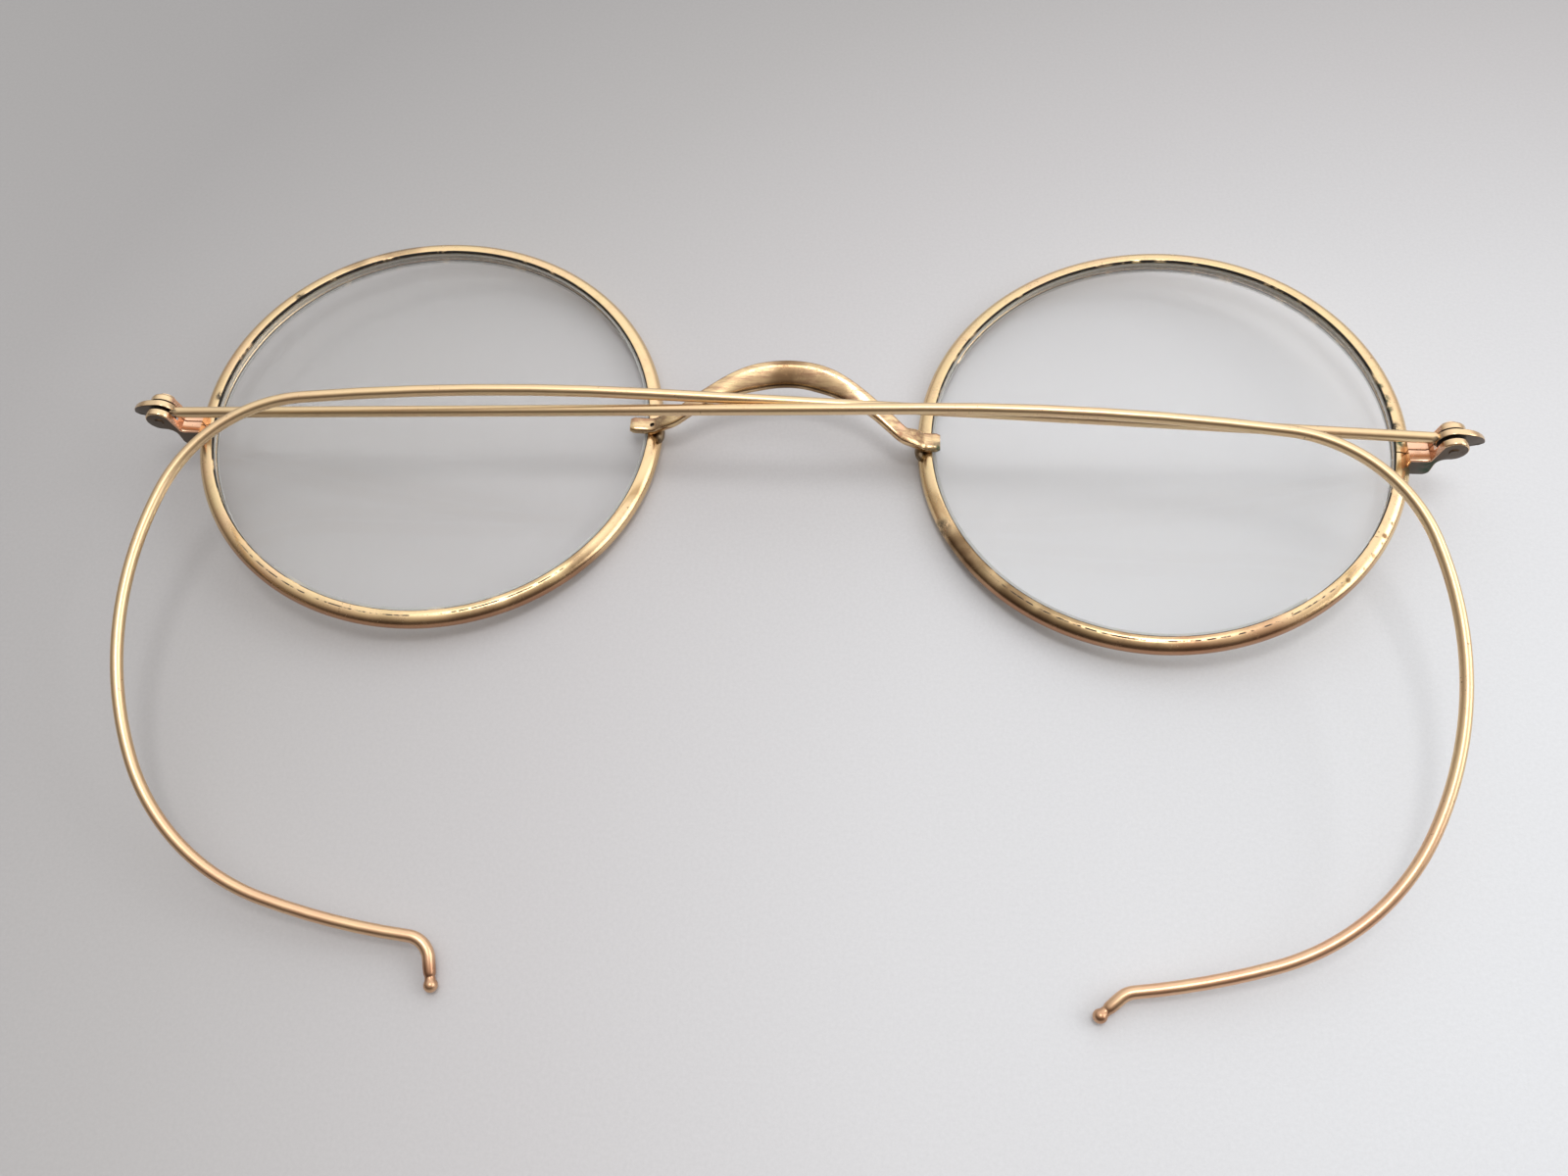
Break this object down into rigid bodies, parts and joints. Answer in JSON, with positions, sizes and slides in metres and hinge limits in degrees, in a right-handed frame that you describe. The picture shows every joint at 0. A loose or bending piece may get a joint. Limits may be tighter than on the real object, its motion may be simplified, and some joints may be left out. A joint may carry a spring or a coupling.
{
  "type": "wire-rim eyeglasses",
  "caption": "Round wire-rim eyeglasses with a saddle bridge, screwed split joints and folding wire temples that end in ear hooks with ball tips.",
  "frame": {"origin": "centre of the outline on the table that the folded spectacles lie on, lens fronts down", "axes": "+X towards the wearer's right, +Y towards the wearer's up, +Z from the lens fronts towards the wearer"},
  "size_m": [0.1122, 0.0686, 0.0125],
  "materials": {
    "gold_filled_wire": "worn satin",
    "rose_gold": "worn satin",
    "joint_screw": "polished",
    "lens_glass": "clear"
  },
  "bodies": {
    "front": {"right_eyewire": "gold_filled_wire", "left_eyewire": "gold_filled_wire", "right_lens": "lens_glass", "left_lens": "lens_glass", "bridge": "gold_filled_wire", "right_endpiece_upper": "rose_gold", "right_endpiece_lower": "rose_gold", "left_endpiece_upper": "rose_gold", "left_endpiece_lower": "rose_gold", "right_joint_screw": "joint_screw", "left_joint_screw": "joint_screw"},
    "right_temple": {"right_temple_ring": "gold_filled_wire", "right_temple_wire": "gold_filled_wire", "right_ear_hook": "gold_filled_wire", "right_ball_tip": "gold_filled_wire"},
    "left_temple": {"left_temple_ring": "gold_filled_wire", "left_temple_wire": "gold_filled_wire", "left_ear_hook": "gold_filled_wire", "left_ball_tip": "gold_filled_wire"}
  },
  "joints": [
    {"name": "right_temple_fold", "type": "hinge", "parent": "front", "child": "right_temple", "pos_m": [0.05388, 0.01147, 0.00678], "axis": [0, 1, 0], "range_deg": [0, 90], "deforming": ["right_ear_hook"]},
    {"name": "left_temple_fold", "type": "hinge", "parent": "front", "child": "left_temple", "pos_m": [-0.05388, 0.01147, 0.00678], "axis": [0, -1, 0], "range_deg": [0, 90], "deforming": ["left_ear_hook"]}
  ]
}
